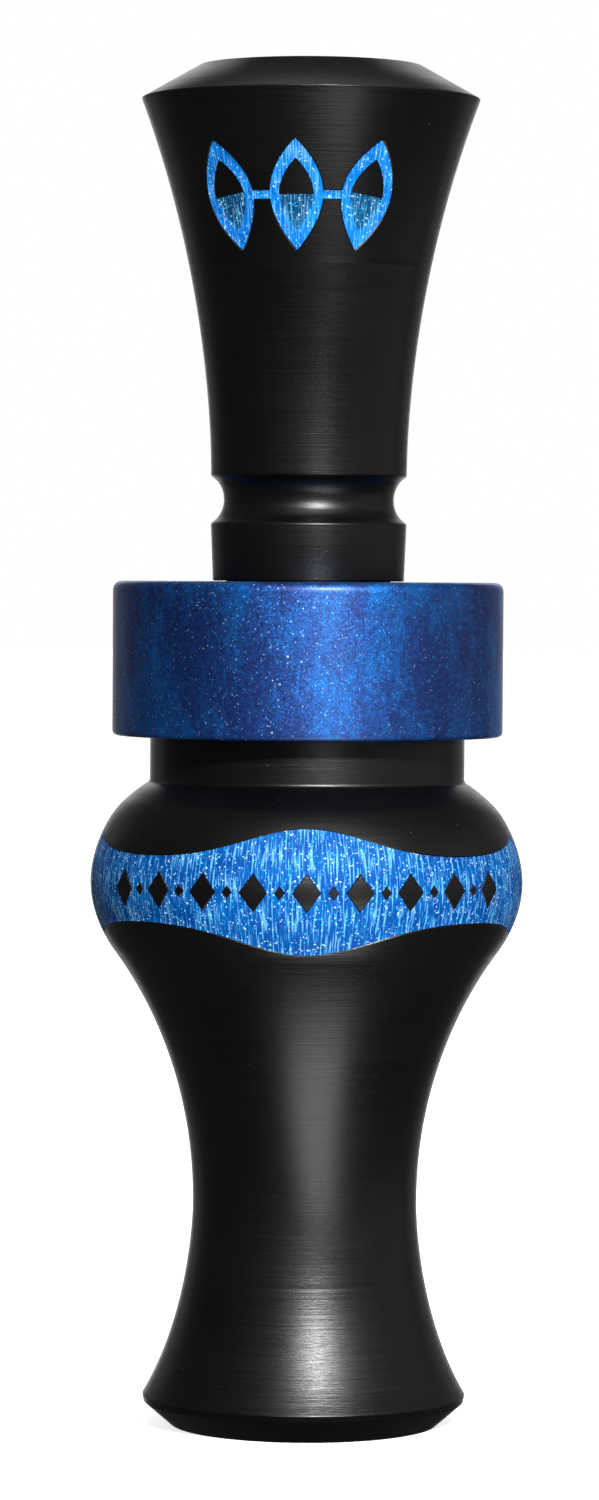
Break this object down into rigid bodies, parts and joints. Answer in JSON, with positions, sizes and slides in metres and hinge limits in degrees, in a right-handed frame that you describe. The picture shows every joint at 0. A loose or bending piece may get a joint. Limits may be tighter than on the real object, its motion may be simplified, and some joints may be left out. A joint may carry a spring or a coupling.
{
  "type": "duck call",
  "caption": "Hand-held reed duck call: a flared insert with tone board and reeds plugs into a bulged barrel with a coloured band.",
  "frame": {"origin": "centre of the mouthpiece's flat face, which is the bottom of the call as it stands", "axes": "+Z along the call's axis from the mouthpiece to the exhaust end, -Y towards the engraved panel and the reeds"},
  "size_m": [0.0416, 0.0416, 0.1308],
  "materials": {
    "black_acetal": "turned and polished to a soft satin",
    "blue_pearl_acrylic": "polished, with pearl flakes under the surface",
    "blue_metallic_fill": "metallic paint rubbed into the engraving",
    "o_ring_rubber": "matte nitrile rubber",
    "wedge_cork": "fine-grained composition cork",
    "reed_film": "clear-white polyester film, lightly sanded"
  },
  "bodies": {
    "barrel": {"barrel": "black_acetal", "band": "blue_pearl_acrylic", "barrel_inlay": "blue_metallic_fill"},
    "o_rings": {"o_ring_upper": "o_ring_rubber", "o_ring_lower": "o_ring_rubber"},
    "insert": {"insert": "black_acetal", "insert_inlay": "blue_metallic_fill"},
    "wedge": {"wedge": "wedge_cork"},
    "lower_reed": {"lower_reed_root": "reed_film"},
    "upper_reed": {"upper_reed_root": "reed_film"},
    "lower_tongue": {"lower_reed_tongue": "reed_film"},
    "upper_tongue": {"upper_reed_tongue": "reed_film"}
  },
  "joints": [
    {"name": "insert_pull", "type": "slide", "parent": "barrel", "child": "o_rings", "axis": [0, 0, 1], "range_m": [0, 0.066]},
    {"name": "insert_twist", "type": "hinge", "parent": "o_rings", "child": "insert", "pos_m": [0, 0, 0.0753], "axis": [0, 0, 1], "continuous": true},
    {"name": "wedge_slide", "type": "slide", "parent": "insert", "child": "wedge", "axis": [0, 0, -1], "range_m": [0, 0.012]},
    {"name": "lower_reed_slide", "type": "slide", "parent": "insert", "child": "lower_reed", "axis": [0, 0, -1], "range_m": [0, 0.012]},
    {"name": "upper_reed_slide", "type": "slide", "parent": "insert", "child": "upper_reed", "axis": [0, 0, -1], "range_m": [0, 0.012]},
    {"name": "lower_reed_flex", "type": "hinge", "parent": "lower_reed", "child": "lower_tongue", "pos_m": [0, -0.00097, 0.055], "axis": [1, 0, 0], "range_deg": [0, 1.2], "stiffness_Nm_per_rad": 0.006},
    {"name": "upper_reed_flex", "type": "hinge", "parent": "upper_reed", "child": "upper_tongue", "pos_m": [0, -0.00128, 0.055], "axis": [1, 0, 0], "range_deg": [0, 1.2], "stiffness_Nm_per_rad": 0.006}
  ],
  "couplings": [
    {"joint": "upper_reed_flex", "follows": "lower_reed_flex", "ratio": 1}
  ]
}
